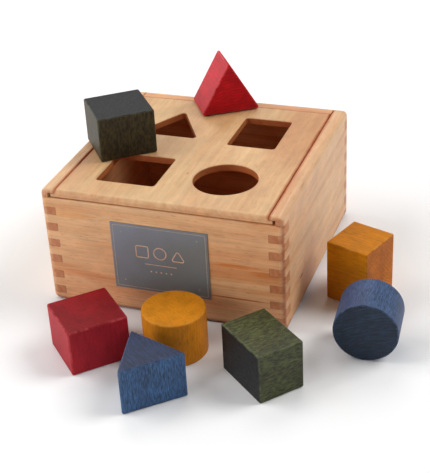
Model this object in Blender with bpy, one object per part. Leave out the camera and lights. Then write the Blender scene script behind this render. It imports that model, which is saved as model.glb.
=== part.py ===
"""Wooden shape sorter: a finger-jointed box, a sliding lid with four holes, and eight loose blocks.

Frame: the origin is the centre of the box's underside, +X runs to the right along the labelled
front, +Y to the back and +Z up. All sizes are in metres.
"""

import math

import bmesh
import bpy
from mathutils import Matrix, Vector

# The box.
BOX_WIDTH = 0.180
BOX_DEPTH = 0.180
BOX_HEIGHT = 0.092
WALL_THICKNESS = 0.011
BOX_ROUNDING = 0.004

# The finger joints: side panel fingers show on the front and back, end panel fingers on the sides.
FINGER_COUNT = 6
FINGER_PITCH = 0.0132
SIDE_FINGER = 0.0061
FIRST_FINGER = 0.0062
JOINT_GAP = 0.0001
FRONT_HEIGHT = FIRST_FINGER + FINGER_COUNT * FINGER_PITCH

# The bottom, let into a rebate all round.
BOTTOM_THICKNESS = 0.005
REBATE_WIDTH = 0.005

# The lid and the groove that it slides in.
GROOVE_FLOOR = 0.0858
GROOVE_HEIGHT = 0.0038
GROOVE_DEPTH = 0.0050
LID_UNDERSIDE = 0.0862
TONGUE_THICKNESS = 0.0030
TONGUE_REACH = 0.0032
LID_SIDE_GAP = 0.0005
LID_FRONT_SETBACK = 0.0005
LID_NOSE_RADIUS = 0.0030

# The holes: the middle of each in X and Y, and its size.
HOLE_CORNER = 0.0025
SQUARE_HOLE = Vector((-0.0341, -0.0447))
SQUARE_HOLE_SIDE = 0.0448
ROUND_HOLE = Vector((0.0341, -0.0447))
ROUND_HOLE_RADIUS = 0.0233
OBLONG_HOLE = Vector((0.0353, 0.0333))
OBLONG_HOLE_SIZE = (0.0372, 0.0493)
TRIANGLE_HOLE = Vector((-0.0339, 0.0283))
TRIANGLE_HOLE_SIDE = 0.0508

# The label on the front.
LABEL_WIDTH = 0.0727
LABEL_HEIGHT = 0.0536
LABEL_THICKNESS = 0.0005
LABEL_CENTRE = (-0.0009, 0.0463)

# The blocks, all cut from stock of one thickness.
BLOCK_THICKNESS = 0.0338
SQUARE_SIDE = 0.043
OBLONG_LONG = 0.047
OBLONG_SHORT = 0.0363
CYLINDER_RADIUS = 0.0222
TRIANGLE_SIDE = 0.0472
BLOCK_ROUNDING = 0.0008
LID_BLOCK_GAP = 0.0003

ROUND_SEGMENTS = 48
CORNER_SEGMENTS = 4
BLOCK_EDGE_SEGMENTS = 2
SHARP_DEGREES = 30
OVERSHOOT = 0.002

COLOURS = {
    "honey_wood": (0.66, 0.39, 0.20),
    "slate_label": (0.10, 0.11, 0.13),
    "red_stain": (0.36, 0.02, 0.03),
    "green_stain": (0.05, 0.09, 0.03),
    "yellow_stain": (0.55, 0.22, 0.02),
    "blue_stain": (0.05, 0.10, 0.22),
}
ROUGHNESS = {"honey_wood": 0.5, "slate_label": 0.35}
STAIN_ROUGHNESS = 0.6


def clear_scene():
    for obj in list(bpy.data.objects):
        bpy.data.objects.remove(obj, do_unlink=True)


def make_material(name):
    material = bpy.data.materials.new(name)
    material.use_nodes = True
    shader = material.node_tree.nodes["Principled BSDF"]
    shader.inputs["Base Color"].default_value = (*COLOURS[name], 1.0)
    shader.inputs["Roughness"].default_value = ROUGHNESS.get(name, STAIN_ROUGHNESS)
    shader.inputs["Metallic"].default_value = 0.0
    return material


def add_object(name, bm, material=None):
    """Links the mesh as a new object, with its faces turned outward."""
    bmesh.ops.recalc_face_normals(bm, faces=bm.faces)
    mesh = bpy.data.meshes.new(name)
    bm.to_mesh(mesh)
    bm.free()
    if material:
        mesh.materials.append(material)
    obj = bpy.data.objects.new(name, mesh)
    bpy.context.scene.collection.objects.link(obj)
    return obj


def prism(outline, low, high):
    """A closed prism over the (x, y) points of outline, from z = low to z = high."""
    bm = bmesh.new()
    base = bm.faces.new([bm.verts.new((x, y, low)) for x, y in outline])
    grown = bmesh.ops.extrude_face_region(bm, geom=[base])["geom"]
    top = [item for item in grown if isinstance(item, bmesh.types.BMVert)]
    bmesh.ops.translate(bm, verts=top, vec=(0.0, 0.0, high - low))
    return bm


def rectangle(width, depth, centre=(0.0, 0.0)):
    x, y = centre
    return [
        (x + sign_x * width / 2, y + sign_y * depth / 2)
        for sign_x, sign_y in ((-1, -1), (1, -1), (1, 1), (-1, 1))
    ]


def regular_outline(count, radius, centre=(0.0, 0.0)):
    """A regular polygon whose first point is straight back, at +Y from its centre."""
    x, y = centre
    angles = [math.pi / 2 + 2 * math.pi * step / count for step in range(count)]
    return [(x + radius * math.cos(angle), y + radius * math.sin(angle)) for angle in angles]


def box(low, high):
    (x0, y0, z0), (x1, y1, z1) = low, high
    return prism(rectangle(x1 - x0, y1 - y0, ((x0 + x1) / 2, (y0 + y1) / 2)), z0, z1)


def round_edges(bm, edges, radius, segments):
    bmesh.ops.bevel(
        bm, geom=list(edges), offset=radius, segments=segments, profile=0.5, affect="EDGES"
    )


def upright_edges(bm):
    return [edge for edge in bm.edges if abs(edge.verts[0].co.z - edge.verts[1].co.z) > 1e-6]


def make_cutter(name, bm):
    cutter = add_object(name, bm)
    cutter.hide_render = True
    cutter.display_type = "WIRE"
    return cutter


def apply_cutter(obj, cutter, operation="DIFFERENCE"):
    modifier = obj.modifiers.new(cutter.name, "BOOLEAN")
    modifier.operation = operation
    modifier.object = cutter
    modifier.solver = "EXACT"


def finger_breaks():
    """The heights at which the corner joints change from one panel's finger to the other's."""
    breaks = []
    for index in range(FINGER_COUNT):
        low = FIRST_FINGER + index * FINGER_PITCH
        breaks += [low, low + SIDE_FINGER]
    return breaks + [FRONT_HEIGHT]


def comb_edge(tip, root, height, starts_with_finger):
    """(offset, height) points up one end of a panel, out to tip on its fingers and in to root between."""
    on_finger = starts_with_finger
    points = [(tip if on_finger else root, 0.0)]
    for level in finger_breaks():
        if level >= height:
            break
        level += -JOINT_GAP / 2 if on_finger else JOINT_GAP / 2
        points.append((tip if on_finger else root, level))
        on_finger = not on_finger
        points.append((tip if on_finger else root, level))
    points.append((tip if on_finger else root, height))
    return points


def comb_outline(tip, root, height, starts_with_finger):
    edge = comb_edge(tip, root, height, starts_with_finger)
    return edge + [(-offset, level) for offset, level in reversed(edge)]


def stand_up(bm, direction):
    """Turns a prism drawn in plan so that its outline stands in the plane across direction."""
    turn = Matrix.Rotation(math.pi / 2, 4, "X")
    if direction == "X":
        turn = Matrix.Rotation(math.pi / 2, 4, "Z") @ turn
    bmesh.ops.transform(bm, matrix=turn, verts=bm.verts)
    return bm


def make_end_panel(name, height, side, wood):
    """The front (side = -1) or back (side = 1) panel, with fingers that show on the box's sides."""
    root = BOX_WIDTH / 2 - WALL_THICKNESS - JOINT_GAP
    outline = comb_outline(BOX_WIDTH / 2, root, height, starts_with_finger=True)
    bm = stand_up(prism(outline, 0.0, WALL_THICKNESS), "Y")
    shift = -BOX_DEPTH / 2 + WALL_THICKNESS if side < 0 else BOX_DEPTH / 2
    bmesh.ops.translate(bm, verts=bm.verts, vec=(0.0, shift, 0.0))
    return add_object(name, bm, wood)


def make_side_panel(name, side, wood):
    """The left (side = -1) or right (side = 1) panel, with fingers that show on the front and back."""
    root = BOX_DEPTH / 2 - WALL_THICKNESS - JOINT_GAP
    outline = comb_outline(BOX_DEPTH / 2, root, BOX_HEIGHT, starts_with_finger=False)
    bm = stand_up(prism(outline, 0.0, WALL_THICKNESS), "X")
    shift = -BOX_WIDTH / 2 if side < 0 else BOX_WIDTH / 2 - WALL_THICKNESS
    bmesh.ops.translate(bm, verts=bm.verts, vec=(shift, 0.0, 0.0))
    return add_object(name, bm, wood)


def sanded_envelope():
    """The rounded block that the assembled box is sanded to."""
    half_width, half_depth = BOX_WIDTH / 2, BOX_DEPTH / 2
    bm = box((-half_width, -half_depth, 0.0), (half_width, half_depth, BOX_HEIGHT))
    round_edges(bm, bm.edges, BOX_ROUNDING, CORNER_SEGMENTS)
    return make_cutter("sanded_envelope", bm)


def groove_cutter():
    """The lid's groove: along both sides and the back, and open at the front."""
    half_width = BOX_WIDTH / 2 - WALL_THICKNESS + GROOVE_DEPTH
    back = BOX_DEPTH / 2 - WALL_THICKNESS + GROOVE_DEPTH
    low = (-half_width, -BOX_DEPTH / 2 - OVERSHOOT, GROOVE_FLOOR)
    high = (half_width, back, GROOVE_FLOOR + GROOVE_HEIGHT)
    return make_cutter("groove_cutter", box(low, high))


def rebate_cutter():
    """The rebate for the bottom panel, with a joint gap above it and round it."""
    half_width = BOX_WIDTH / 2 - WALL_THICKNESS + REBATE_WIDTH
    half_depth = BOX_DEPTH / 2 - WALL_THICKNESS + REBATE_WIDTH
    low = (-half_width, -half_depth, -OVERSHOOT)
    high = (half_width, half_depth, BOTTOM_THICKNESS + JOINT_GAP)
    return make_cutter("rebate_cutter", box(low, high))


def make_box(wood):
    front = make_end_panel("front_panel", FRONT_HEIGHT, -1, wood)
    back = make_end_panel("back_panel", BOX_HEIGHT, 1, wood)
    left = make_side_panel("left_panel", -1, wood)
    right = make_side_panel("right_panel", 1, wood)
    rebate, groove, envelope = rebate_cutter(), groove_cutter(), sanded_envelope()
    for panel in (front, back, left, right):
        apply_cutter(panel, rebate)
        if panel is not front:
            apply_cutter(panel, groove)
        apply_cutter(panel, envelope, "INTERSECT")


def make_bottom(wood):
    half_width = BOX_WIDTH / 2 - WALL_THICKNESS + REBATE_WIDTH - JOINT_GAP
    half_depth = BOX_DEPTH / 2 - WALL_THICKNESS + REBATE_WIDTH - JOINT_GAP
    bm = box((-half_width, -half_depth, 0.0), (half_width, half_depth, BOTTOM_THICKNESS))
    return add_object("bottom_panel", bm, wood)


def hole_cutter(name, outline, corner):
    bm = prism(outline, LID_UNDERSIDE - OVERSHOOT, BOX_HEIGHT + OVERSHOOT)
    if corner:
        round_edges(bm, upright_edges(bm), corner, CORNER_SEGMENTS)
    return make_cutter(name, bm)


def make_lid(wood):
    """A board with a thinner tongue along its sides and back, a rounded nose, and four holes."""
    half_top = BOX_WIDTH / 2 - WALL_THICKNESS - LID_SIDE_GAP
    half_tongue = half_top + TONGUE_REACH
    tongue_top = LID_UNDERSIDE + TONGUE_THICKNESS
    front = -BOX_DEPTH / 2 + LID_FRONT_SETBACK
    back_top = BOX_DEPTH / 2 - WALL_THICKNESS - LID_SIDE_GAP
    section = [
        (-half_tongue, LID_UNDERSIDE),
        (half_tongue, LID_UNDERSIDE),
        (half_tongue, tongue_top),
        (half_top, tongue_top),
        (half_top, BOX_HEIGHT),
        (-half_top, BOX_HEIGHT),
        (-half_top, tongue_top),
        (-half_tongue, tongue_top),
    ]
    bm = stand_up(prism(section, -back_top - TONGUE_REACH, -front), "Y")
    nose = [
        edge
        for edge in bm.edges
        if all(abs(v.co.y - front) < 1e-6 and abs(v.co.z - BOX_HEIGHT) < 1e-6 for v in edge.verts)
    ]
    round_edges(bm, nose, LID_NOSE_RADIUS, CORNER_SEGMENTS)
    lid = add_object("lid", bm, wood)
    step_low = (-BOX_WIDTH / 2, back_top, tongue_top)
    step_high = (BOX_WIDTH / 2, BOX_DEPTH / 2, BOX_HEIGHT + OVERSHOOT)
    apply_cutter(lid, make_cutter("lid_step_cutter", box(step_low, step_high)))

    square = rectangle(SQUARE_HOLE_SIDE, SQUARE_HOLE_SIDE, SQUARE_HOLE)
    oblong = rectangle(*OBLONG_HOLE_SIZE, OBLONG_HOLE)
    triangle = regular_outline(3, TRIANGLE_HOLE_SIDE / math.sqrt(3), TRIANGLE_HOLE)
    circle = regular_outline(ROUND_SEGMENTS, ROUND_HOLE_RADIUS, ROUND_HOLE)
    apply_cutter(lid, hole_cutter("square_hole_cutter", square, HOLE_CORNER))
    apply_cutter(lid, hole_cutter("oblong_hole_cutter", oblong, HOLE_CORNER))
    apply_cutter(lid, hole_cutter("triangle_hole_cutter", triangle, HOLE_CORNER))
    apply_cutter(lid, hole_cutter("round_hole_cutter", circle, 0.0))
    return lid


def make_label(material):
    x, z = LABEL_CENTRE
    back = -BOX_DEPTH / 2 - JOINT_GAP
    low = (x - LABEL_WIDTH / 2, back - LABEL_THICKNESS, z - LABEL_HEIGHT / 2)
    high = (x + LABEL_WIDTH / 2, back, z + LABEL_HEIGHT / 2)
    return add_object("label_plate", box(low, high), material)


def make_block(name, outline, height, material):
    """A block drawn about its own centre: outline in X and Y, and height along Z."""
    is_round = len(outline) == ROUND_SEGMENTS
    bm = prism(outline, -height / 2, height / 2)
    facets = set(upright_edges(bm)) if is_round else set()
    edges = [edge for edge in bm.edges if edge not in facets]
    round_edges(bm, edges, BLOCK_ROUNDING, BLOCK_EDGE_SEGMENTS)
    block = add_object(name, bm, material)
    if is_round:
        block.data.shade_smooth()
        block.data.set_sharp_from_angle(angle=math.radians(SHARP_DEGREES))
    return block


def place(block, x, y, z, yaw, tilt=0.0):
    """Sets a block down with its centre at x, y, z, tipped back by tilt and then turned by yaw."""
    block.location = (x, y, z)
    block.rotation_euler = (math.radians(tilt), 0.0, math.radians(yaw))


def make_blocks(stain):
    half_thickness = BLOCK_THICKNESS / 2
    on_lid = BOX_HEIGHT + LID_BLOCK_GAP
    inradius = TRIANGLE_SIDE / (2 * math.sqrt(3))
    square = rectangle(SQUARE_SIDE, SQUARE_SIDE)
    lying = rectangle(BLOCK_THICKNESS, OBLONG_LONG)
    standing = rectangle(BLOCK_THICKNESS, OBLONG_SHORT)
    circle = regular_outline(ROUND_SEGMENTS, CYLINDER_RADIUS)
    triangle = regular_outline(3, 2 * inradius)

    red_square = make_block("red_square_block", square, BLOCK_THICKNESS, stain["red"])
    place(red_square, -0.0348, -0.1442, half_thickness, 44.8)
    green_square = make_block("green_square_block", square, BLOCK_THICKNESS, stain["green"])
    place(green_square, -0.0591, -0.0116, on_lid + half_thickness, 38.0)
    green_oblong = make_block("green_oblong_block", lying, OBLONG_SHORT, stain["green"])
    place(green_oblong, 0.0888, -0.1417, OBLONG_SHORT / 2, 49.3)
    yellow_oblong = make_block("yellow_oblong_block", standing, OBLONG_LONG, stain["yellow"])
    place(yellow_oblong, 0.1272, -0.0259, OBLONG_LONG / 2, -19.3)
    yellow_cylinder = make_block("yellow_cylinder_block", circle, BLOCK_THICKNESS, stain["yellow"])
    place(yellow_cylinder, 0.0216, -0.1263, half_thickness, 0.0)
    blue_cylinder = make_block("blue_cylinder_block", circle, BLOCK_THICKNESS, stain["blue"])
    place(blue_cylinder, 0.1480, -0.0893, CYLINDER_RADIUS, 4.8, tilt=90.0)
    blue_triangle = make_block("blue_triangle_block", triangle, BLOCK_THICKNESS, stain["blue"])
    place(blue_triangle, 0.0214, -0.1782, half_thickness, 41.8)
    red_triangle = make_block("red_triangle_block", triangle, BLOCK_THICKNESS, stain["red"])
    place(red_triangle, -0.0068, 0.0771, on_lid + inradius, 33.3, tilt=90.0)


def main():
    clear_scene()
    materials = {name: make_material(name) for name in COLOURS}
    wood = materials["honey_wood"]
    make_box(wood)
    make_bottom(wood)
    make_lid(wood)
    make_label(materials["slate_label"])
    make_blocks({name: materials[f"{name}_stain"] for name in ("red", "green", "yellow", "blue")})


main()
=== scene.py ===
"""The look of a wooden shape sorter: a finger-jointed box, its sliding lid and eight stained blocks.

Each piece is built here at full finish and stands for the CAD node of the same part. Units are
metres, in the frame's own axes: +X to the right along the labelled front, +Y to the back, +Z up.
A piece's mesh holds its place in the timber that it was cut from, and the wood materials read it.
"""

import math
from typing import NamedTuple

import bmesh
import bpy
import numpy as np
from mathutils import Matrix, Vector


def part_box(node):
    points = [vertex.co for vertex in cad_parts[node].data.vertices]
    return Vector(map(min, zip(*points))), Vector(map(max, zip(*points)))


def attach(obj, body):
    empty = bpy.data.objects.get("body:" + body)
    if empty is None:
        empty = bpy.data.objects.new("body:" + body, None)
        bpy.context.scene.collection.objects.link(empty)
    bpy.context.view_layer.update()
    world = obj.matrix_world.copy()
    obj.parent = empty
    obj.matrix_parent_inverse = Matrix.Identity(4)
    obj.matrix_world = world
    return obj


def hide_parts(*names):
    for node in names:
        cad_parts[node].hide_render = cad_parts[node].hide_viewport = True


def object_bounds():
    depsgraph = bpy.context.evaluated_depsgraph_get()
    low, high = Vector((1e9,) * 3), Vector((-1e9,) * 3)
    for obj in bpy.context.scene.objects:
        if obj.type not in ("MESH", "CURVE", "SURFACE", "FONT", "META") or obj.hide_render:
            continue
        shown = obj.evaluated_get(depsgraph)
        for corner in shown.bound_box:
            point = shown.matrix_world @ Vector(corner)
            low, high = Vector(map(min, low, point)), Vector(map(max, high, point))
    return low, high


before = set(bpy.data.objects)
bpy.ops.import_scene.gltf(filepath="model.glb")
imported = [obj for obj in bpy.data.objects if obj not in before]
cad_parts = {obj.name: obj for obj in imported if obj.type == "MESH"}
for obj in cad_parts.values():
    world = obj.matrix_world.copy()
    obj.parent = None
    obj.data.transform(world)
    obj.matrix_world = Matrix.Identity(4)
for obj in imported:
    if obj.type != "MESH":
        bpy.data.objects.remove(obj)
CAD_LOW, CAD_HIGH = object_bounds()

# Sizes that the frame gives.
FRONT_LOW, FRONT_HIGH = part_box("front_panel")
RIGHT_LOW, RIGHT_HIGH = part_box("right_panel")
BOTTOM_LOW, BOTTOM_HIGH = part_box("bottom_panel")
LID_LOW, LID_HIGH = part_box("lid")
LABEL_LOW, LABEL_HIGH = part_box("label_plate")
BOX_WIDTH = FRONT_HIGH.x - FRONT_LOW.x
BOX_DEPTH = RIGHT_HIGH.y - RIGHT_LOW.y
BOX_HEIGHT = RIGHT_HIGH.z
WALL = RIGHT_HIGH.x - RIGHT_LOW.x

# The box's joints and edges.
FINGER_COUNT = 6
FINGER_PITCH = 0.0132
SIDE_FINGER = 0.0061
FIRST_FINGER = 0.0062
JOINT_GAP = 0.0002
BOX_ROUNDING = 0.0042
BOX_ROUNDING_STEPS = 10
ARRIS = 0.0006
WIDE_ARRIS = 0.0015
ARRIS_STEPS = 3

# The lid's groove, and the lid.
GROOVE_FLOOR = 0.0858
FRONT_HEIGHT = GROOVE_FLOOR
GROOVE_HEIGHT = 0.0038
GROOVE_DEPTH = 0.0050
TONGUE_THICKNESS = 0.0030
TONGUE_REACH = 0.0029
LID_NOSE_RADIUS = 0.0030
NOSE_UNDERSIDE = 0.0012
NOSE_STEPS = 9

# The holes: each one's middle, and its size.
HOLE_CORNER = 0.0025
HOLE_EDGE = 0.0009
HOLE_FLARE_DEGREES = 80
SQUARE_HOLE = Vector((-0.0341, -0.0447))
SQUARE_HOLE_SIDE = 0.0448
ROUND_HOLE = Vector((0.0341, -0.0447))
ROUND_HOLE_RADIUS = 0.0233
OBLONG_HOLE = Vector((0.0353, 0.0333))
OBLONG_HOLE_WIDTH = 0.0372
OBLONG_HOLE_DEPTH = 0.0493
TRIANGLE_HOLE = Vector((-0.0339, 0.0283))
TRIANGLE_HOLE_SIDE = 0.0508

# The blocks.
BLOCK_THICKNESS = 0.0338
SQUARE_SIDE = 0.043
OBLONG_LONG = 0.047
OBLONG_SHORT = 0.0363
CYLINDER_RADIUS = 0.0222
TRIANGLE_SIDE = 0.0472
BLOCK_EDGE = 0.0011
BLOCK_CORNER = 0.0013
EDGE_STEPS = 4
CORNER_STEPS = 6
CIRCLE_STEPS = 96
STICK_SPACING = 0.7

# The label's print: the border, a dot in each corner, and an emblem of three outlined shapes.
LABEL_EDGE = 0.00015
PRINT_HEIGHT = 0.00006
BORDER_INSET = 0.0016
BORDER_WIDTH = 0.0006
CORNER_DOT_SPREAD = (0.0566, 0.0394)
DOT_RADIUS = 0.0006
EMBLEM_SIZE = 0.0100
EMBLEM_PITCH = 0.0134
EMBLEM_STROKE = 0.0008
EMBLEM_HEIGHT = 0.0055
RULE_LENGTH = 0.0240
RULE_WIDTH = 0.0005
RULE_HEIGHT = -0.0042
DOT_ROW_HEIGHT = -0.0100
DOT_ROW_PITCH = 0.0038
DOT_ROW_COUNT = 5

# How far a cutting tool runs past its cut, the slack when places are compared, and the length
# below which a cut's leftover edge is joined up.
OVERSHOOT = 0.004
HAIR = 0.0001
SAME_PLACE = 1e-5
WELD = 5e-6

# How faces are shaded and sorted: a worn edge's are narrower than NARROW_FACE, and one whose
# normal rises by more than RISES_UP looks up.
SMOOTH_DEGREES = 35
NARROW_FACE = 0.0009
RISES_UP = 0.3


# ---------------------------------------------------------------------------------------------
# Outlines and solids
# ---------------------------------------------------------------------------------------------


def rectangle(width, depth, centre=(0.0, 0.0)):
    x, y = centre
    return [
        Vector((x + sign_x * width / 2, y + sign_y * depth / 2))
        for sign_x, sign_y in ((-1, -1), (1, -1), (1, 1), (-1, 1))
    ]


def triangle(side, centre=(0.0, 0.0)):
    """An equal-sided triangle round its centre, with one corner straight back at +Y."""
    reach = side / math.sqrt(3)
    angles = [math.pi / 2 + 2 * math.pi * step / 3 for step in range(3)]
    return [Vector(centre) + reach * Vector((math.cos(a), math.sin(a))) for a in angles]


def corner_centres(corners, radius):
    """The centres of the arcs that round a convex outline's corners to radius."""
    centres = []
    for index, corner in enumerate(corners):
        back = (corners[index - 1] - corner).normalized()
        onward = (corners[(index + 1) % len(corners)] - corner).normalized()
        half_angle = back.angle(onward) / 2
        centres.append(corner + (back + onward).normalized() * radius / math.sin(half_angle))
    return centres


def round_outline(centres, radius):
    """The outline round equal discs: a circle for one centre, or else a polygon with round corners."""
    if len(centres) == 1:
        angles = [2 * math.pi * step / CIRCLE_STEPS for step in range(CIRCLE_STEPS)]
        return [centres[0] + radius * Vector((math.cos(a), math.sin(a))) for a in angles]
    points = []
    for index, centre in enumerate(centres):
        incoming = centre - centres[index - 1]
        outgoing = centres[(index + 1) % len(centres)] - centre
        first = math.atan2(-incoming.x, incoming.y)
        turn = -incoming.angle_signed(outgoing)
        for step in range(CORNER_STEPS + 1):
            angle = first + turn * step / CORNER_STEPS
            points.append(centre + radius * Vector((math.cos(angle), math.sin(angle))))
    return points


def loft(rings):
    """A closed solid through rings of 3-D points, each ring with as many points as the others."""
    bm = bmesh.new()
    loops = [[bm.verts.new(point) for point in ring] for ring in rings]
    for low, high in zip(loops, loops[1:]):
        for index in range(len(low)):
            onward = (index + 1) % len(low)
            bm.faces.new((low[index], low[onward], high[onward], high[index]))
    bm.faces.new(loops[0][::-1])
    bm.faces.new(loops[-1])
    bmesh.ops.recalc_face_normals(bm, faces=bm.faces)
    return bm


def prism(outline, low, high):
    """A closed solid with the outline in plan, from z = low to z = high."""
    return loft([[Vector((x, y, z)) for x, y in outline] for z in (low, high)])


def box(low, high):
    middle = ((low[0] + high[0]) / 2, (low[1] + high[1]) / 2)
    return prism(rectangle(high[0] - low[0], high[1] - low[1], middle), low[2], high[2])


def soft_prism(centres, radius, edge, height):
    """A prism about z = 0 whose corners are round and whose top and bottom edges are rolled over."""
    rings = []
    quarter = [math.pi / 2 * step / EDGE_STEPS for step in range(EDGE_STEPS + 1)]
    for side, angles in ((-1, quarter), (1, quarter[::-1])):
        for angle in angles:
            outline = round_outline(centres, radius - edge * (1 - math.sin(angle)))
            z = side * (height / 2 - edge * (1 - math.cos(angle)))
            rings.append([Vector((x, y, z)) for x, y in outline])
    return loft(rings)


def band(centres, outer, inner, low, high):
    """A flat ring, such as a printed line, between two outlines round the same centres."""
    bm = bmesh.new()
    loops = [
        [bm.verts.new((x, y, z)) for x, y in round_outline(centres, radius)]
        for radius, z in ((outer, low), (outer, high), (inner, high), (inner, low))
    ]
    for loop, following in zip(loops, loops[1:] + loops[:1]):
        for index in range(len(loop)):
            onward = (index + 1) % len(loop)
            bm.faces.new((loop[index], loop[onward], following[onward], following[index]))
    bmesh.ops.recalc_face_normals(bm, faces=bm.faces)
    return bm


def merged(solids):
    """One bmesh that holds all the solids."""
    whole = bmesh.new()
    for solid in solids:
        mesh = to_mesh("solid", solid)
        whole.from_mesh(mesh)
        bpy.data.meshes.remove(mesh)
    return whole


def stand_up(bm, direction):
    """Turns a solid drawn in plan so that its outline stands in the plane across direction."""
    turn = Matrix.Rotation(math.pi / 2, 4, "X")
    if direction == "X":
        turn = Matrix.Rotation(math.pi / 2, 4, "Z") @ turn
    bmesh.ops.transform(bm, matrix=turn, verts=bm.verts)
    return bm


def shift(bm, x=0.0, y=0.0, z=0.0):
    """Moves the solid and returns it."""
    bmesh.ops.translate(bm, verts=bm.verts, vec=(x, y, z))
    return bm


def bevel(bm, edges, radius, steps):
    bmesh.ops.bevel(bm, geom=edges, offset=radius, segments=steps, profile=0.5, affect="EDGES")


def round_over(bm, radius, steps, chosen):
    """Rounds the edges whose two ends both pass chosen."""
    edges = [edge for edge in bm.edges if all(chosen(vert.co) for vert in edge.verts)]
    bevel(bm, edges, radius, steps)
    return bm


def near(value, target):
    return abs(value - target) < SAME_PLACE


def to_mesh(name, bm):
    """A named mesh that holds what bm held. bm is used up."""
    mesh = bpy.data.meshes.new(name)
    bm.to_mesh(mesh)
    bm.free()
    return mesh


def weld(mesh):
    """Joins points that a cut has left closer together than any real edge is long."""
    bm = bmesh.new()
    bm.from_mesh(mesh)
    bmesh.ops.dissolve_degenerate(bm, dist=WELD, edges=bm.edges)
    bm.to_mesh(mesh)
    bm.free()


def carve(name, bm, steps):
    """The mesh left when each (operation, tool solid) of steps has been applied to the solid."""
    collection = bpy.context.scene.collection
    obj = bpy.data.objects.new(name, to_mesh(name, bm))
    collection.objects.link(obj)
    tools = []
    for operation, tool_bm in steps:
        tool = bpy.data.objects.new("tool", to_mesh("tool", tool_bm))
        collection.objects.link(tool)
        tools.append(tool)
        modifier = obj.modifiers.new(operation, "BOOLEAN")
        modifier.operation = operation
        modifier.object = tool
        modifier.solver = "EXACT"
    graph = bpy.context.evaluated_depsgraph_get()
    mesh = bpy.data.meshes.new_from_object(obj.evaluated_get(graph))
    for used in (obj, *tools):
        bpy.data.objects.remove(used)
    weld(mesh)
    return mesh


# ---------------------------------------------------------------------------------------------
# What the materials read from a mesh
# ---------------------------------------------------------------------------------------------


def set_attribute(mesh, name, kind, domain, key, values):
    attribute = mesh.attributes.new(name, kind, domain)
    attribute.data.foreach_set(key, np.asarray(values, np.float32).ravel())


def set_grain(mesh, along, heart, start):
    """Stores each point's place in the timber, with the grain along one of the mesh's axes.

    heart is where the tree's middle runs, in the two axes across the grain, and start is how far
    along the tree the piece was cut, so that no two pieces show the same figure.
    """
    across = [axis for axis in range(3) if axis != along]
    points = np.empty(len(mesh.vertices) * 3, np.float32)
    mesh.vertices.foreach_get("co", points)
    points = points.reshape(-1, 3)
    place = np.empty_like(points)
    place[:, 0] = points[:, along] + start
    place[:, 1] = points[:, across[0]] - heart[0]
    place[:, 2] = points[:, across[1]] - heart[1]
    set_attribute(mesh, "timber_place", "FLOAT_VECTOR", "POINT", "vector", place)
    direction = np.tile([1.0 if axis == along else 0.0 for axis in range(3)], (len(points), 1))
    set_attribute(mesh, "grain_axis", "FLOAT_VECTOR", "POINT", "vector", direction)


def turn_grain_axis(mesh, rotation):
    """Turns the stored grain direction with the mesh."""
    data = mesh.attributes["grain_axis"].data
    axes = np.empty(len(data) * 3, np.float32)
    data.foreach_get("vector", axes)
    data.foreach_set("vector", (axes.reshape(-1, 3) @ np.array(rotation).T).astype(np.float32).ravel())


def set_edges(mesh):
    """Marks the narrow faces that a rounded edge is made of, where hands and knocks wear the finish."""
    worn = []
    for polygon in mesh.polygons:
        corners = [mesh.vertices[index].co for index in polygon.vertices]
        longest = max((a - b).length for a, b in zip(corners, corners[1:] + corners[:1]))
        worn.append(1.0 if polygon.area < NARROW_FACE * longest else 0.0)
    set_attribute(mesh, "worn_edge", "FLOAT", "FACE", "value", worn)


def set_inside_shade(mesh):
    """Marks the faces inside the box and down the lid's holes, which the wood materials darken with
    painted shade.
    """
    half_width, half_depth = BOX_WIDTH / 2 - WALL + HAIR, BOX_DEPTH / 2 - WALL + HAIR
    inside = []
    for polygon in mesh.polygons:
        x, y, z = polygon.center
        faces_up = polygon.normal.z > RISES_UP and z > LID_LOW.z
        between_walls = abs(x) < half_width and abs(y) < half_depth
        deep = BOTTOM_HIGH.z - HAIR < z < LID_HIGH.z - HAIR
        inside.append(1.0 if between_walls and deep and not faces_up else 0.0)
    set_attribute(mesh, "inside", "FLOAT", "FACE", "value", inside)


# ---------------------------------------------------------------------------------------------
# Materials
# ---------------------------------------------------------------------------------------------


def colour(red, green, blue):
    """A linear colour with alpha, from the 0 to 255 values that a screen shows."""
    shares = [value / 255 for value in (red, green, blue)]
    return (*[s / 12.92 if s <= 0.04045 else ((s + 0.055) / 1.055) ** 2.4 for s in shares], 1.0)


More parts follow.
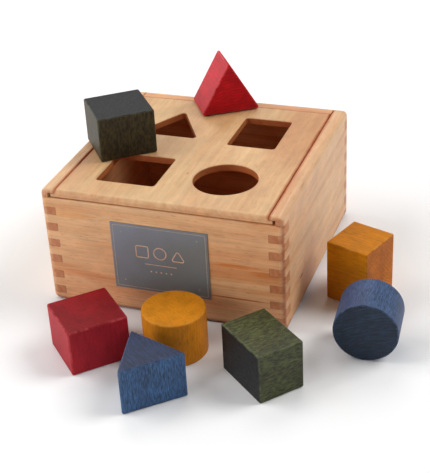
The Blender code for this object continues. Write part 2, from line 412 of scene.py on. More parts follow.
class Shader:
    """Short calls for the nodes of one material. Each returns the socket that holds its result."""

    def __init__(self, name):
        self.material = bpy.data.materials.new(name)
        self.material.use_nodes = True
        self.tree = self.material.node_tree
        self.surface = self.tree.nodes["Principled BSDF"]

    def put(self, socket, value):
        if isinstance(value, bpy.types.NodeSocket):
            self.tree.links.new(value, socket)
        else:
            socket.default_value = value

    def math(self, operation, *values):
        node = self.tree.nodes.new("ShaderNodeMath")
        node.operation = operation
        for socket, value in zip(node.inputs, values):
            self.put(socket, value)
        return node.outputs[0]

    def vector(self, operation, *values):
        node = self.tree.nodes.new("ShaderNodeVectorMath")
        node.operation = operation
        for socket, value in zip(node.inputs, values):
            self.put(socket, value)
        return node.outputs["Value" if operation in ("DOT_PRODUCT", "LENGTH") else "Vector"]

    def attribute(self, name, output):
        node = self.tree.nodes.new("ShaderNodeAttribute")
        node.attribute_name = name
        return node.outputs[output]

    def noise(self, place, stretch, detail=2.0, roughness=0.5, output="Fac"):
        """Noise about one unit wide once place has been stretched by the three numbers of stretch."""
        node = self.tree.nodes.new("ShaderNodeTexNoise")
        self.put(node.inputs["Vector"], self.vector("MULTIPLY", place, stretch))
        node.inputs["Scale"].default_value = 1.0
        node.inputs["Detail"].default_value = detail
        node.inputs["Roughness"].default_value = roughness
        return node.outputs[output]

    def step(self, value, low, high, to_low=0.0, to_high=1.0):
        """A smooth rise of value from to_low at low to to_high at high."""
        node = self.tree.nodes.new("ShaderNodeMapRange")
        node.interpolation_type = "SMOOTHSTEP"
        for socket, number in zip(node.inputs, (value, low, high, to_low, to_high)):
            self.put(socket, number)
        return node.outputs["Result"]

    def mix(self, share, first, second, blend="MIX"):
        node = self.tree.nodes.new("ShaderNodeMix")
        node.data_type = "RGBA"
        node.blend_type = blend
        self.put(node.inputs["Factor"], share)
        sockets = [socket for socket in node.inputs if socket.type == "RGBA"]
        self.put(sockets[0], first)
        self.put(sockets[1], second)
        return next(socket for socket in node.outputs if socket.type == "RGBA")

    def tint(self, tone, tint, share):
        """The tone multiplied by a tint, as far as share goes from 0 to 1."""
        return self.mix(share, tone, colour(*tint), "MULTIPLY")

    def bump(self, height, strength, distance):
        node = self.tree.nodes.new("ShaderNodeBump")
        node.inputs["Strength"].default_value = strength
        node.inputs["Distance"].default_value = distance
        self.put(node.inputs["Height"], height)
        self.put(self.surface.inputs["Normal"], node.outputs["Normal"])


class Tones(NamedTuple):
    """A timber's colours, as a screen shows them. The last four are tints, which multiply it; inside is
    the tint of the painted shade inside the box and down the lid's holes.
    """

    long_grain: tuple
    end_grain: tuple
    worn: tuple
    late_wood: tuple
    streak: tuple
    drift: tuple
    inside: tuple = (255, 255, 255)


class Figure(NamedTuple):
    """How strongly each part of a timber's figure shows, how finely it runs and how it shines."""

    ring_width: float
    ring_wobble: float
    rings: float
    end_rings: float
    streaks: float
    end_streaks: float
    streak_stretch: tuple
    fibre: float
    fibre_stretch: tuple
    end_fibre: float
    flecks: float
    mottle: float
    worn: float
    roughness: float
    specular: float


BOARD_FIGURE = Figure(
    ring_width=0.0042, ring_wobble=1.0, rings=0.45, end_rings=0.5,
    streaks=0.75, end_streaks=0.5, streak_stretch=(9, 160, 160),
    fibre=0.09, fibre_stretch=(28, 700, 700), end_fibre=0.06,
    flecks=0.6, mottle=0.05, worn=0.2, roughness=0.46, specular=0.5,
)
SIDE_FIGURE = BOARD_FIGURE._replace(rings=0.3, streaks=0.5)
LID_FIGURE = BOARD_FIGURE._replace(
    rings=0.2, end_rings=0.25, streaks=0.3, flecks=0.5, fibre=0.07, mottle=0.06,
)
BLUE_FIGURE = Figure(
    ring_width=0.0024, ring_wobble=2.0, rings=0.2, end_rings=0.5,
    streaks=0.2, end_streaks=0.2, streak_stretch=(60, 420, 420),
    fibre=0.66, fibre_stretch=(210, 1800, 1800), end_fibre=0.5,
    flecks=0.5, mottle=0.10, worn=0.35, roughness=0.52, specular=0.35,
)
GREEN_FIGURE = BLUE_FIGURE._replace(
    streaks=0.9, streak_stretch=(110, 240, 240), fibre=0.7, fibre_stretch=(260, 700, 700), end_fibre=0.3,
)
QUIET_GREEN_FIGURE = GREEN_FIGURE._replace(end_rings=0.1, end_streaks=0.1, end_fibre=0.1)
RED_FIGURE = BLUE_FIGURE._replace(end_rings=0.35, fibre=0.14, end_fibre=0.12, flecks=0.35, specular=0.15)
YELLOW_FIGURE = RED_FIGURE._replace(end_rings=0.12, fibre=0.10, end_fibre=0.05)
RINGED_YELLOW_FIGURE = YELLOW_FIGURE._replace(end_rings=0.3, end_fibre=0.15)

# How finely the rest of the figure repeats, per metre along the grain and then across it twice,
# and how far the grain sways. In END_FIBRE_STRETCH the last is round the tree, at MEAN_RADIUS.
SWAY_STRETCH = (5, 16, 16)
SWAY_REACH = (0.0, 0.008, 0.008)
WOBBLE_STRETCH = (3, 60, 60)
RING_STRENGTH_STRETCH = (4, 60, 60)
DRIFT_STRETCH = (7, 24, 24)
END_FIBRE_STRETCH = (100, 900, 170)
MEAN_RADIUS = 0.1
FLECK_STRETCH = (170, 1100, 1100)
MOTTLE_STRETCH = (70, 110, 110)
RUB_STRETCH = (90, 260, 260)

# The depth of the wood's relief in metres, how strongly it shades, and how far a fleck sinks into it,
# as a share of that depth.
PORE_DEPTH = 0.00015
PORE_STRENGTH = 0.35
FLECK_DEPTH = 0.6

# The label's noises, as repeats per metre, and the painted sheen across its film, lighter and bluer
# towards the top left, as a change per metre.
LINEN_STRETCH = (2600, 2600, 2600)
CLOUD_STRETCH = (45, 45, 45)
FOIL_STRETCH = (300, 300, 300)
FILM_SHEEN_SLOPE = (-9.0, 0.0, 12.0)

# The tints of the marks on the boards: knots, streaks and patches in the wood, painted shade along the
# bottom edge and in the seams round the lid, and a corner darker for its end grain and with painted
# shade.
DARK_KNOT = (120, 78, 52)
PALE_KNOT = (226, 196, 174)
ORANGE_STREAK = (247, 212, 160)
BROWN_LINE = (206, 160, 126)
ROSY_PATCH = (241, 222, 211)
FAINT_ROSY_PATCH = (249, 238, 232)
CREAM_PATCH = (252, 236, 212)
BOTTOM_EDGE_SHADE = (170, 118, 90)
SEAM_SHADE = (214, 152, 94)
CORNER_GRAIN_AND_SHADE = (228, 186, 158)

# Marks on the boards: the middle of each, how far it reaches each way, and its tint.
ALL_ALONG = 0.4
# Painted shade along the bottom edge of the box.
BOTTOM_SHADE_BAND = ((0.0, 0.0, -0.0010), (ALL_ALONG, ALL_ALONG, 0.0062), BOTTOM_EDGE_SHADE)
# The right front corner: darker for its end grain, and with painted shade on its rounding.
RIGHT_FRONT_CORNER_GRAIN_AND_SHADE = ((0.0892, -0.0892, 0.0400), (0.0022, 0.0022, 0.0900), CORNER_GRAIN_AND_SHADE)
# Painted shade in the seams between the lid and the side and back walls.
SIDE_SEAM_SHADES = [((x, 0.0, 0.0916), (0.0026, ALL_ALONG, 0.0040), SEAM_SHADE) for x in (-0.0790, 0.0790)]
BACK_SEAM_SHADE = ((0.0, 0.0790, 0.0916), (ALL_ALONG, 0.0014, 0.0040), SEAM_SHADE)
FRONT_MARKS = [
    ((-0.0800, -0.0900, 0.0081), (0.0018, 0.0030, 0.0012), DARK_KNOT),
    ((0.0540, -0.0900, 0.0500), (0.0220, 0.0030, 0.0024), ORANGE_STREAK),
    ((0.0760, -0.0900, 0.0460), (0.0180, 0.0030, 0.0030), ORANGE_STREAK),
    ((-0.0700, -0.0900, 0.0740), (0.0260, 0.0030, 0.0050), CREAM_PATCH),
    ((0.0560, -0.0900, 0.0235), (0.0340, 0.0030, 0.0010), BROWN_LINE),
    BOTTOM_SHADE_BAND,
    RIGHT_FRONT_CORNER_GRAIN_AND_SHADE,
]
SIDE_MARKS = [
    ((0.0900, -0.0497, 0.0237), (0.0030, 0.0058, 0.0011), DARK_KNOT),
    BOTTOM_SHADE_BAND,
    RIGHT_FRONT_CORNER_GRAIN_AND_SHADE,
    *SIDE_SEAM_SHADES,
]
LID_MARKS = [
    ((0.0048, -0.0427, 0.0923), (0.0012, 0.0024, 0.0020), PALE_KNOT),
    ((0.0720, 0.0450, 0.0923), (0.0420, 0.0850, 0.0200), ROSY_PATCH),
    ((-0.0800, -0.0450, 0.0923), (0.0180, 0.0550, 0.0200), FAINT_ROSY_PATCH),
    *SIDE_SEAM_SHADES,
    BACK_SEAM_SHADE,
]


def swaying_place(shader):
    """The place in the timber, pushed slowly to and fro across the grain, as a tree grows."""
    place = shader.attribute("timber_place", "Vector")
    sway = shader.noise(place, SWAY_STRETCH, output="Color")
    sway = shader.vector("SUBTRACT", sway, (0.5, 0.5, 0.5))
    return shader.vector("ADD", place, shader.vector("MULTIPLY", sway, SWAY_REACH))


def round_place(shader, place):
    """The place given as how far it is along the tree, out from its middle, and round it."""
    parts = shader.tree.nodes.new("ShaderNodeSeparateXYZ")
    shader.put(parts.inputs[0], place)
    along, first, second = parts.outputs
    radius = shader.vector("LENGTH", shader.vector("MULTIPLY", place, (0.0, 1.0, 1.0)))
    around = shader.math("MULTIPLY", shader.math("ARCTAN2", second, first), MEAN_RADIUS)
    whole = shader.tree.nodes.new("ShaderNodeCombineXYZ")
    for socket, value in zip(whole.inputs, (along, radius, around)):
        shader.put(socket, value)
    return whole.outputs[0], radius


def growth_rings(shader, place, radius, figure):
    """How far each point is into late wood, which darkens slowly across a ring and ends sharply."""
    wobble = shader.math("MULTIPLY", shader.noise(place, WOBBLE_STRETCH), figure.ring_wobble)
    count = shader.math("DIVIDE", radius, figure.ring_width)
    ring = shader.math("FRACT", shader.math("ADD", count, wobble))
    late = shader.math("MULTIPLY", shader.step(ring, 0.25, 0.85), shader.step(ring, 0.86, 1.0, 1.0, 0.0))
    strength = shader.step(shader.noise(place, RING_STRENGTH_STRETCH), 0.3, 0.7, 0.35, 1.0)
    return shader.math("MULTIPLY", late, strength)


def end_grain_share(shader):
    """1 where the face cuts straight across the grain, and 0 where it runs along it."""
    normal = shader.tree.nodes.new("ShaderNodeNewGeometry").outputs["Normal"]
    along = shader.vector("DOT_PRODUCT", normal, shader.attribute("grain_axis", "Vector"))
    return shader.step(shader.math("ABSOLUTE", along), 0.35, 0.95)


def mark(shader, tone, centre, reach, tint):
    """A soft oval mark, such as a pin knot or a stain, at centre and as far each way as reach."""
    place = shader.tree.nodes.new("ShaderNodeTexCoord").outputs["Object"]
    away = shader.vector("DIVIDE", shader.vector("SUBTRACT", place, centre), reach)
    return shader.tint(tone, tint, shader.step(shader.vector("LENGTH", away), 0.3, 1.0, 1.0, 0.0))


def wood(name, tones, figure, marks=()):
    """Timber with growth rings, streaks, fibre and flecks, whatever face it is cut on."""
    shader = Shader(name)
    place = swaying_place(shader)
    curved, radius = round_place(shader, place)
    rings = growth_rings(shader, place, radius, figure)
    streaks = shader.step(shader.noise(place, figure.streak_stretch), 0.45, 0.72)
    drift = shader.step(shader.noise(place, DRIFT_STRETCH), 0.35, 0.65)
    fibre = shader.noise(place, figure.fibre_stretch, detail=3.0, roughness=0.65)
    end_fibre = shader.noise(curved, END_FIBRE_STRETCH, detail=3.0, roughness=0.65)
    flecks = shader.step(shader.noise(place, FLECK_STRETCH, detail=1.0), 0.60, 0.72)
    end_grain = end_grain_share(shader)
    ring_share = shader.step(end_grain, 0.0, 1.0, figure.rings, figure.end_rings)
    streak_share = shader.step(end_grain, 0.0, 1.0, figure.streaks, figure.end_streaks)

    tone = shader.mix(end_grain, colour(*tones.long_grain), colour(*tones.end_grain))
    tone = shader.tint(tone, tones.drift, drift)
    tone = shader.tint(tone, tones.streak, shader.math("MULTIPLY", streaks, streak_share))
    tone = shader.tint(tone, tones.late_wood, shader.math("MULTIPLY", rings, ring_share))
    tone = shader.tint(tone, tones.late_wood, shader.math("MULTIPLY", flecks, figure.flecks))
    fine = shader.step(fibre, 0.30, 0.70, 1 - figure.fibre, 1 + figure.fibre)
    end_fine = shader.step(end_fibre, 0.30, 0.70, 1 - figure.end_fibre, 1 + figure.end_fibre)
    blotches = shader.noise(place, MOTTLE_STRETCH)
    mottle = shader.step(blotches, 0.3, 0.7, 1 - figure.mottle, 1 + figure.mottle)
    tone = shader.vector("MULTIPLY", tone, shader.mix(end_grain, fine, end_fine))
    tone = shader.vector("MULTIPLY", tone, mottle)
    for centre, reach, tint in marks:
        tone = mark(shader, tone, centre, reach, tint)
    rubbed = shader.step(shader.noise(place, RUB_STRETCH), 0.35, 0.65, 0.0, figure.worn)
    rubbed = shader.math("MULTIPLY", rubbed, shader.attribute("worn_edge", "Fac"))
    tone = shader.mix(rubbed, tone, colour(*tones.worn))
    # Painted shade: the faces inside the box and down the lid's holes are darkened.
    tone = shader.tint(tone, tones.inside, shader.attribute("inside", "Fac"))
    shader.put(shader.surface.inputs["Base Color"], tone)

    roughness = shader.step(fibre, 0.25, 0.75, figure.roughness - 0.06, figure.roughness + 0.08)
    shader.put(shader.surface.inputs["Roughness"], roughness)
    shader.surface.inputs["Specular IOR Level"].default_value = figure.specular
    relief = shader.math("SUBTRACT", fibre, shader.math("MULTIPLY", flecks, FLECK_DEPTH))
    shader.bump(relief, strength=PORE_STRENGTH, distance=PORE_DEPTH)
    return shader.material


def honey_wood(name, long_grain, end_grain, figure, inside, marks):
    tones = Tones(
        long_grain=long_grain, end_grain=end_grain, worn=(236, 196, 156),
        late_wood=(236, 210, 184), streak=(240, 208, 172), drift=(246, 234, 230), inside=inside,
    )
    return wood(name, tones, figure, marks)


def stained_wood(name, long_grain, end_grain, worn, figure):
    tones = Tones(
        long_grain=long_grain, end_grain=end_grain, worn=worn,
        late_wood=(176, 170, 172), streak=(206, 198, 196), drift=(228, 220, 232),
    )
    return wood(name, tones, figure)


def slate_film():
    """The label's satin slate grey film, with a painted sheen that makes it lighter and bluer towards
    its top left, and a faint linen texture.
    """
    shader = Shader("slate_label")
    place = shader.tree.nodes.new("ShaderNodeTexCoord").outputs["Object"]
    weave = shader.noise(place, LINEN_STRETCH, detail=1.0)
    cloud = shader.noise(place, CLOUD_STRETCH)
    # Painted sheen: the film grows lighter and bluer towards its top left.
    sheen_slope = shader.vector("DOT_PRODUCT", place, FILM_SHEEN_SLOPE)
    sheen_slope = shader.step(shader.math("ADD", sheen_slope, cloud), 0.5, 1.9)
    tone = shader.mix(sheen_slope, colour(109, 112, 110), colour(124, 127, 138))
    tone = shader.vector("MULTIPLY", tone, shader.step(weave, 0.3, 0.7, 0.95, 1.05))
    shader.put(shader.surface.inputs["Base Color"], tone)
    shader.put(shader.surface.inputs["Roughness"], shader.step(weave, 0.3, 0.7, 0.40, 0.50))
    shader.bump(weave, strength=0.2, distance=0.00005)
    return shader.material


def pale_foil(name, low, high):
    """The foil that the label is printed in."""
    shader = Shader(name)
    place = shader.tree.nodes.new("ShaderNodeTexCoord").outputs["Object"]
    patch = shader.noise(place, FOIL_STRETCH)
    tone = shader.mix(shader.step(patch, 0.3, 0.7), colour(*low), colour(*high))
    shader.put(shader.surface.inputs["Base Color"], tone)
    shader.put(shader.surface.inputs["Roughness"], shader.step(patch, 0.3, 0.7, 0.34, 0.5))
    shader.surface.inputs["Metallic"].default_value = 0.2
    return shader.material


# ---------------------------------------------------------------------------------------------
# Pieces
# ---------------------------------------------------------------------------------------------


def add_piece(name, mesh, material, body, slot, *nodes):
    """Shows the mesh as a piece that rides on body and stands for the CAD nodes."""
    mesh.materials.clear()
    mesh.materials.append(material)
    mesh.shade_smooth()
    mesh.set_sharp_from_angle(angle=math.radians(SMOOTH_DEGREES))
    obj = bpy.data.objects.new(name, mesh)
    bpy.context.scene.collection.objects.link(obj)
    modifier = obj.modifiers.new("weighted_normals", "WEIGHTED_NORMAL")
    modifier.keep_sharp = True
    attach(obj, body)
    if nodes:
        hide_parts(*nodes)
    return obj


def finish_board(mesh, along, heart, start):
    """Stores all that the wood materials read from a board."""
    set_grain(mesh, along, heart, start)
    set_edges(mesh)
    set_inside_shade(mesh)


def finger_breaks():
    """The heights at which the corner joints change from one panel's finger to the other's."""
    breaks = []
    for index in range(FINGER_COUNT):
        low = FIRST_FINGER + index * FINGER_PITCH
        breaks += [low, low + SIDE_FINGER]
    return breaks + [FRONT_HEIGHT]


def comb_outline(tip, root, height, starts_with_finger):
    """A panel's outline, out to tip on its fingers and in to root between them, at both ends."""
    on_finger = starts_with_finger
    edge = [(tip if on_finger else root, 0.0)]
    for level in finger_breaks():
        if level > height - JOINT_GAP:
            break
        level += -JOINT_GAP / 2 if on_finger else JOINT_GAP / 2
        edge.append((tip if on_finger else root, level))
        on_finger = not on_finger
        edge.append((tip if on_finger else root, level))
    edge.append((tip if on_finger else root, height))
    return edge + [(-offset, level) for offset, level in reversed(edge)]


def sanded_envelope():
    """The rounded block that the assembled box is sanded to."""
    half_width, half_depth = BOX_WIDTH / 2, BOX_DEPTH / 2
    bm = box((-half_width, -half_depth, 0.0), (half_width, half_depth, BOX_HEIGHT))
    return round_over(bm, BOX_ROUNDING, BOX_ROUNDING_STEPS, lambda place: True)


def groove_tool():
    """The lid's groove: along both sides and the back, and open at the front."""
    half_width = BOX_WIDTH / 2 - WALL + GROOVE_DEPTH
    back = BOX_DEPTH / 2 - WALL + GROOVE_DEPTH
    low = (-half_width, -BOX_DEPTH / 2 - OVERSHOOT, GROOVE_FLOOR)
    return box(low, (half_width, back, GROOVE_FLOOR + GROOVE_HEIGHT))


def rebate_tool():
    """The rebate that the bottom panel is let into."""
    low = (BOTTOM_LOW.x - JOINT_GAP, BOTTOM_LOW.y - JOINT_GAP, -OVERSHOOT)
    return box(low, (BOTTOM_HIGH.x + JOINT_GAP, BOTTOM_HIGH.y + JOINT_GAP, BOTTOM_HIGH.z + JOINT_GAP))


def end_panel(side):
    """The front (side = -1) or back (side = 1) panel, with fingers that show on the box's sides."""
    height = FRONT_HEIGHT if side < 0 else BOX_HEIGHT
    outline = comb_outline(BOX_WIDTH / 2, BOX_WIDTH / 2 - WALL - JOINT_GAP, height, True)
    bm = stand_up(prism(outline, 0.0, WALL), "Y")
    shift(bm, y=WALL - BOX_DEPTH / 2 if side < 0 else BOX_DEPTH / 2)
    outer_y = side * BOX_DEPTH / 2

    def on_top_outer_edge(place):
        return near(place.z, height) and near(place.y, outer_y)

    return round_over(bm, WIDE_ARRIS, ARRIS_STEPS, on_top_outer_edge)


def side_panel(side):
    """The left (side = -1) or right (side = 1) panel, with fingers that show on the front and back."""
    outline = comb_outline(BOX_DEPTH / 2, BOX_DEPTH / 2 - WALL - JOINT_GAP, BOX_HEIGHT, False)
    bm = stand_up(prism(outline, 0.0, WALL), "X")
    shift(bm, x=-BOX_WIDTH / 2 if side < 0 else BOX_WIDTH / 2 - WALL)
    inner = side * (BOX_WIDTH / 2 - WALL)

    def on_top_inner_edge(place):
        return near(place.z, BOX_HEIGHT) and near(place.x, inner)

    return round_over(bm, WIDE_ARRIS, ARRIS_STEPS, on_top_inner_edge)


class Board(NamedTuple):
    """A wall's solid, the tools that cut it, its wood, and along, heart and start for its grain."""

    solid: bmesh.types.BMesh
    cuts: tuple
    wood: str
    along: int
    heart: tuple
    start: float


def add_box(woods):
    """The four finger-jointed walls and the bottom."""
    walls = {
        "front": Board(end_panel(-1), (rebate_tool,), "front", 0, (0.050, 0.030), 0.31),
        "back": Board(end_panel(1), (rebate_tool, groove_tool), "front", 0, (-0.040, 0.060), 1.27),
        "left": Board(side_panel(-1), (rebate_tool, groove_tool), "side", 1, (0.030, 0.110), 2.13),
        "right": Board(side_panel(1), (rebate_tool, groove_tool), "side", 1, (-0.025, 0.020), 3.41),
    }
    for place, board in walls.items():
        steps = [("DIFFERENCE", tool()) for tool in board.cuts]
        mesh = carve(f"{place}_board", board.solid, steps + [("INTERSECT", sanded_envelope())])
        finish_board(mesh, board.along, board.heart, board.start)
        add_piece(f"{place}_board", mesh, woods[board.wood], "box", "honey_wood", f"{place}_panel")

    bottom = box(BOTTOM_LOW, BOTTOM_HIGH)
    mesh = to_mesh("bottom_board", round_over(bottom, ARRIS / 2, ARRIS_STEPS, lambda place: True))
    finish_board(mesh, along=0, heart=(0.0, -0.070), start=4.2)
    add_piece("bottom_board", mesh, woods["bottom"], "box", "honey_wood", "bottom_panel")


def hole_tool(centres, radius):
    """Cuts a hole right through the lid and rolls its top and bottom edges over."""
    rings = []
    flare = [math.radians(HOLE_FLARE_DEGREES) * step / EDGE_STEPS for step in range(EDGE_STEPS + 1)]
    for side, face, angles in ((-1, LID_LOW.z, flare[::-1]), (1, LID_HIGH.z, flare)):
        ends = [
            (HOLE_EDGE * (1 - math.cos(angle)), face - side * HOLE_EDGE * (1 - math.sin(angle)))
            for angle in angles
        ]
        outer = (ends[-1 if side > 0 else 0][0] + OVERSHOOT, face + side * OVERSHOOT / 4)
        profile = ends + [outer] if side > 0 else [outer] + ends
        for grow, z in profile:
            rings.append([Vector((x, y, z)) for x, y in round_outline(centres, radius + grow)])
    return loft(rings)


def nose_tool():
    """What is taken off the lid's front edge to round its top, and its underside a little."""
    top_y, top_z = LID_LOW.y + LID_NOSE_RADIUS, LID_HIGH.z - LID_NOSE_RADIUS
    low_y, low_z = LID_LOW.y + NOSE_UNDERSIDE, LID_LOW.z + NOSE_UNDERSIDE
    under, over = [], []
    for step in range(NOSE_STEPS + 1):
        angle = math.pi / 2 * step / NOSE_STEPS
        sine, cosine = math.sin(angle), math.cos(angle)
        under.append((low_y - NOSE_UNDERSIDE * sine, low_z - NOSE_UNDERSIDE * cosine))
        over.append((top_y - LID_NOSE_RADIUS * cosine, top_z + LID_NOSE_RADIUS * sine))
    outside = [
        (top_y, LID_HIGH.z + OVERSHOOT),
        (LID_LOW.y - OVERSHOOT, LID_HIGH.z + OVERSHOOT),
        (LID_LOW.y - OVERSHOOT, LID_LOW.z - OVERSHOOT),
        (low_y, LID_LOW.z - OVERSHOOT),
    ]
    return stand_up(prism(under + over + outside, -BOX_WIDTH / 2, BOX_WIDTH / 2), "X")


def long_edges(bm, chosen):
    """The edges that run along most of the lid and whose two ends both pass chosen."""
    return [
        edge
        for edge in bm.edges
        if all(chosen(vert.co) for vert in edge.verts)
        and abs(edge.verts[0].co.y - edge.verts[1].co.y) > BOX_DEPTH / 2
    ]


def add_lid(material):
    """The sliding lid: a board with a tongue along its sides and back, a rounded nose and four holes."""
    half_tongue = LID_HIGH.x
    half_top = half_tongue - TONGUE_REACH
    tongue_top = LID_LOW.z + TONGUE_THICKNESS
    section = [
        (-half_tongue, LID_LOW.z), (half_tongue, LID_LOW.z), (half_tongue, tongue_top),
        (half_top, tongue_top), (half_top, LID_HIGH.z), (-half_top, LID_HIGH.z),
        (-half_top, tongue_top), (-half_tongue, tongue_top),
    ]
    bm = stand_up(prism(section, -LID_HIGH.y, -LID_LOW.y), "Y")

    tongue_edges = long_edges(bm, lambda place: near(abs(place.x), half_tongue))
    bevel(bm, tongue_edges, ARRIS, ARRIS_STEPS)
    top_edges = long_edges(bm, lambda place: near(abs(place.x), half_top) and near(place.z, LID_HIGH.z))
    bevel(bm, top_edges, WIDE_ARRIS, ARRIS_STEPS)
    back_step = box(
        (-BOX_WIDTH / 2, LID_HIGH.y - TONGUE_REACH, tongue_top),
        (BOX_WIDTH / 2, LID_HIGH.y + OVERSHOOT, LID_HIGH.z + OVERSHOOT),
    )
    square = rectangle(SQUARE_HOLE_SIDE, SQUARE_HOLE_SIDE, SQUARE_HOLE)
    oblong = rectangle(OBLONG_HOLE_WIDTH, OBLONG_HOLE_DEPTH, OBLONG_HOLE)
    pointed = triangle(TRIANGLE_HOLE_SIDE, TRIANGLE_HOLE)
    holes = [
        hole_tool(corner_centres(corners, HOLE_CORNER), HOLE_CORNER)
        for corners in (square, oblong, pointed)
    ]
    holes.append(hole_tool([ROUND_HOLE], ROUND_HOLE_RADIUS))
    mesh = carve("lid_board", bm, [("DIFFERENCE", tool) for tool in (back_step, nose_tool(), *holes)])
    finish_board(mesh, along=1, heart=(-0.012, 0.025), start=5.6)
    add_piece("lid_board", mesh, material, "lid", "honey_wood", "lid")


def outlined(corners_or_centre, reach, stroke):
    """A printed outline: round a circle's centre, or inside a polygon's corners."""
    if reach is None:
        return band(corner_centres(corners_or_centre, 2 * stroke), 2 * stroke, stroke, 0.0, PRINT_HEIGHT)
    return band([Vector(corners_or_centre)], reach, reach - stroke, 0.0, PRINT_HEIGHT)


def printed_dot(x, y):
    return prism(round_outline([Vector((x, y))], DOT_RADIUS), 0.0, PRINT_HEIGHT)


def emblem():
    """A square, a circle and a triangle in a row, above a rule and a row of dots."""
    square = rectangle(EMBLEM_SIZE, EMBLEM_SIZE, (-EMBLEM_PITCH, EMBLEM_HEIGHT))
    side = 2 * EMBLEM_SIZE / math.sqrt(3)
    pointed = triangle(side, (EMBLEM_PITCH, EMBLEM_HEIGHT - EMBLEM_SIZE / 6))
    solids = [
        outlined(square, None, EMBLEM_STROKE),
        outlined((0.0, EMBLEM_HEIGHT), EMBLEM_SIZE / 2, EMBLEM_STROKE),
        outlined(pointed, None, EMBLEM_STROKE),
        prism(rectangle(RULE_LENGTH, RULE_WIDTH, (0.0, RULE_HEIGHT)), 0.0, PRINT_HEIGHT),
    ]
    for index in range(DOT_ROW_COUNT):
        place = (index - (DOT_ROW_COUNT - 1) / 2) * DOT_ROW_PITCH
        solids.append(printed_dot(place, DOT_ROW_HEIGHT))
    return merged(solids)


def add_label(film, line_foil, emblem_foil):
    """The label: a thin plate with a printed border, a dot in each corner and a plain emblem."""
    width, height = LABEL_HIGH.x - LABEL_LOW.x, LABEL_HIGH.z - LABEL_LOW.z
    middle = (LABEL_LOW + LABEL_HIGH) / 2
    thickness = LABEL_HIGH.y - LABEL_LOW.y

    def add(name, bm, y, material, *nodes):
        mesh = to_mesh(name, shift(stand_up(bm, "Y"), middle.x, y, middle.z))
        add_piece(name, mesh, material, "box", "slate_label", *nodes)

    corner = 2 * LABEL_EDGE
    plate = soft_prism(corner_centres(rectangle(width, height), corner), corner, LABEL_EDGE, thickness)
    add("label", plate, middle.y, film, "label_plate")
    border = rectangle(width - 2 * BORDER_INSET, height - 2 * BORDER_INSET)
    add("label_border", outlined(border, None, BORDER_WIDTH), LABEL_LOW.y, line_foil)
    dots = [printed_dot(x, y) for x, y in rectangle(*CORNER_DOT_SPREAD)]
    add("label_corner_dots", merged(dots), LABEL_LOW.y, line_foil)
    add("label_emblem", emblem(), LABEL_LOW.y, emblem_foil)


def block_shapes():
    """The (centres, radius) of each kind of block's outline, as soft_prism takes them."""
    square = corner_centres(rectangle(SQUARE_SIDE, SQUARE_SIDE), BLOCK_CORNER)
    oblong = corner_centres(rectangle(OBLONG_LONG, OBLONG_SHORT), BLOCK_CORNER)
    pointed = corner_centres(triangle(TRIANGLE_SIDE), BLOCK_CORNER)
    return {
        "square": (square, BLOCK_CORNER),
        "oblong": (oblong, BLOCK_CORNER),
        "triangle": (pointed, BLOCK_CORNER),
        "cylinder": ([Vector((0.0, 0.0))], CYLINDER_RADIUS),
    }


class Block(NamedTuple):
    """A block's shape, how it is turned, where in the tree it was cut, and its stain's colours."""

    shape: str
    turn: Matrix
    heart: tuple
    long_grain: tuple
    end_grain: tuple
    worn: tuple
    figure: Figure


def add_block(name, block, start):
    """A block sliced off a stick, so that the grain runs through its thickness, where its node is."""
    centres, radius = block_shapes()[block.shape]
    mesh = to_mesh(name, soft_prism(centres, radius, BLOCK_EDGE, BLOCK_THICKNESS))
    set_grain(mesh, 2, block.heart, start)
    set_edges(mesh)
    mesh.transform(block.turn)
    turn_grain_axis(mesh, block.turn.to_3x3())
    low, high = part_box(f"{name}_block")
    points = [vert.co for vert in mesh.vertices]
    own_low = Vector([min(point[axis] for point in points) for axis in range(3)])
    own_high = Vector([max(point[axis] for point in points) for axis in range(3)])
    mesh.transform(Matrix.Translation((low + high - own_low - own_high) / 2))
    slot = f"{name.split('_')[0]}_stain"
    stain = stained_wood(f"{name}_stain", block.long_grain, block.end_grain, block.worn, block.figure)
    add_piece(f"{name}_toy", mesh, stain, name, slot, f"{name}_block")


def turned(yaw, tilt=0.0, axis="X"):
    """A turn by tilt about a level axis, and then by yaw about the upright, in degrees."""
    return Matrix.Rotation(math.radians(yaw), 4, "Z") @ Matrix.Rotation(math.radians(tilt), 4, axis)


def add_blocks():
    """The eight blocks, each turned as it lies."""
    blocks = {
        "red_square": Block(
            "square", turned(44.8), (0.090, 0.045),
            (176, 34, 44), (142, 16, 26), (206, 92, 94), RED_FIGURE),
        "red_triangle": Block(
            "triangle", turned(33.3, 90), (0.010, -0.100),
            (200, 36, 48), (202, 22, 32), (222, 100, 100), RED_FIGURE),
        "green_square": Block(
            "square", turned(38.0), (-0.085, 0.060),
            (58, 50, 20), (15, 15, 16), (84, 88, 62), QUIET_GREEN_FIGURE),
        "green_oblong": Block(
            "oblong", turned(49.3) @ turned(90, 90), (0.070, -0.080),
            (66, 72, 36), (13, 13, 14), (98, 106, 70), GREEN_FIGURE),
        "yellow_cylinder": Block(
            "cylinder", turned(0), (0.070, 0.095),
            (202, 124, 22), (198, 124, 16), (216, 152, 66), YELLOW_FIGURE),
        "yellow_oblong": Block(
            "oblong", turned(-19.3) @ turned(0, 90, "Y"), (-0.070, 0.070),
            (217, 136, 6), (194, 109, 24), (224, 156, 60), RINGED_YELLOW_FIGURE),
        "blue_cylinder": Block(
            "cylinder", turned(4.8, 90), (0.030, -0.095),
            (60, 84, 120), (22, 42, 62), (92, 112, 146), BLUE_FIGURE),
        "blue_triangle": Block(
            "triangle", turned(41.8), (0.100, 0.010),
            (48, 82, 122), (24, 44, 78), (80, 104, 142), BLUE_FIGURE),
    }
    for index, (name, block) in enumerate(blocks.items()):
        add_block(name, block, STICK_SPACING * index)


# ---------------------------------------------------------------------------------------------
# Studio
# ---------------------------------------------------------------------------------------------

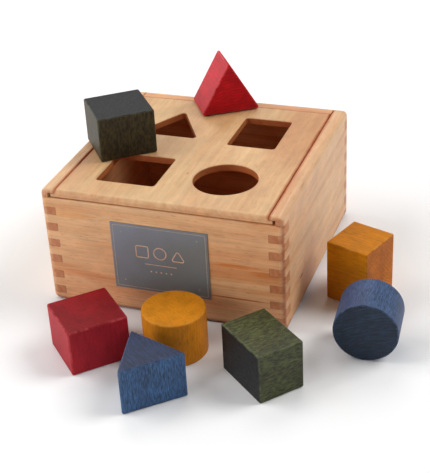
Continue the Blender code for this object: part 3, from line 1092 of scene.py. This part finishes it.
FLOOR_REACH = 20.0
FLOOR_TOP = -0.0001
FLOOR_UNDERSIDE = -0.02
FLOOR_GREYS = ((244, 244, 244), (247, 247, 247))
WORLD_STRENGTH = 0.03
LIGHT_DISTANCE = 6.0
LIGHT_SIZE = 3.6
# Each soft box's azimuth and elevation in degrees, as seen from the toy, and its watts.
LIGHTS = {
    "window_left": (-80, 45, 179),
    "front_left": (-40, 15, 142),
    "front_right": (40, 15, 56),
    "window_right": (120, 45, 245),
    "back_left": (-120, 15, 94),
    "back_high": (-160, 45, 114),
}
CAMERA_PLACE = Vector((0.28516, -0.73307, 0.47238))
CAMERA_AZIMUTH = 20.80
CAMERA_ELEVATION = 30.21
CAMERA_ROLL = -3.30
CAMERA_LENS = 89.04
SENSOR = 36.0


def add_floor():
    """A plain pale floor."""
    shader = Shader("pale_floor")
    place = shader.tree.nodes.new("ShaderNodeTexCoord").outputs["Object"]
    tone = shader.mix(shader.noise(place, (2, 2, 2)), *[colour(*grey) for grey in FLOOR_GREYS])
    shader.put(shader.surface.inputs["Base Color"], tone)
    shader.surface.inputs["Roughness"].default_value = 0.9
    shader.surface.inputs["Specular IOR Level"].default_value = 0.0
    low = (-FLOOR_REACH, -FLOOR_REACH, FLOOR_UNDERSIDE)
    mesh = to_mesh("floor", box(low, (FLOOR_REACH, FLOOR_REACH, FLOOR_TOP)))
    mesh.materials.append(shader.material)
    floor = bpy.data.objects.new("floor", mesh)
    bpy.context.scene.collection.objects.link(floor)


def add_world():
    world = bpy.data.worlds.new("studio")
    world.use_nodes = True
    world.node_tree.nodes["Background"].inputs["Color"].default_value = (1.0, 1.0, 1.0, 1.0)
    world.node_tree.nodes["Background"].inputs["Strength"].default_value = WORLD_STRENGTH
    bpy.context.scene.world = world


def direction(azimuth, elevation):
    """The unit vector away from the toy. Azimuth 0 is in front of it, and 90 is to its right."""
    turn, lift = math.radians(azimuth), math.radians(elevation)
    return Vector((math.sin(turn) * math.cos(lift), -math.cos(turn) * math.cos(lift), math.sin(lift)))


def add_lights():
    """Square soft boxes round the toy, which all look at its middle."""
    middle = (CAD_LOW + CAD_HIGH) / 2
    for name, (azimuth, elevation, watts) in LIGHTS.items():
        light = bpy.data.lights.new(name, "AREA")
        light.size = LIGHT_SIZE
        light.energy = watts
        away = direction(azimuth, elevation)
        obj = bpy.data.objects.new(name, light)
        obj.location = middle + away * LIGHT_DISTANCE
        obj.rotation_euler = away.to_track_quat("Z", "Y").to_euler()
        bpy.context.scene.collection.objects.link(obj)


def add_camera():
    back = direction(CAMERA_AZIMUTH, CAMERA_ELEVATION)
    right = direction(CAMERA_AZIMUTH + 90, 0.0)
    facing = Matrix((right, back.cross(right), back)).transposed().to_4x4()
    camera = bpy.data.cameras.new("camera")
    camera.lens = CAMERA_LENS
    camera.sensor_width = SENSOR
    obj = bpy.data.objects.new("camera", camera)
    bpy.context.scene.collection.objects.link(obj)
    roll = Matrix.Rotation(math.radians(CAMERA_ROLL), 4, "Z")
    obj.matrix_world = Matrix.Translation(CAMERA_PLACE) @ facing @ roll
    bpy.context.scene.camera = obj


def main():
    bpy.context.scene.view_settings.view_transform = "Standard"
    # Each honey wood's fifth colour is the tint of its painted shade inside the box and down the lid's
    # holes.
    woods = {
        "front": honey_wood(
            "honey_front", (222, 172, 124), (197, 136, 90), BOARD_FIGURE, (250, 226, 210), FRONT_MARKS),
        "side": honey_wood(
            "honey_side", (220, 179, 135), (191, 126, 82), SIDE_FIGURE, (250, 226, 210), SIDE_MARKS),
        "bottom": honey_wood(
            "honey_bottom", (234, 196, 156), (200, 150, 110), BOARD_FIGURE, (255, 246, 238), []),
        "lid": honey_wood(
            "honey_lid", (212, 174, 125), (216, 166, 118), LID_FIGURE, (214, 158, 124), LID_MARKS),
    }
    add_box(woods)
    add_lid(woods["lid"])
    add_label(
        slate_film(),
        pale_foil("grey_foil", (150, 142, 132), (168, 158, 146)),
        pale_foil("tan_foil", (204, 166, 138), (222, 186, 160)),
    )
    add_blocks()
    add_floor()
    add_world()
    add_lights()
    add_camera()


main()
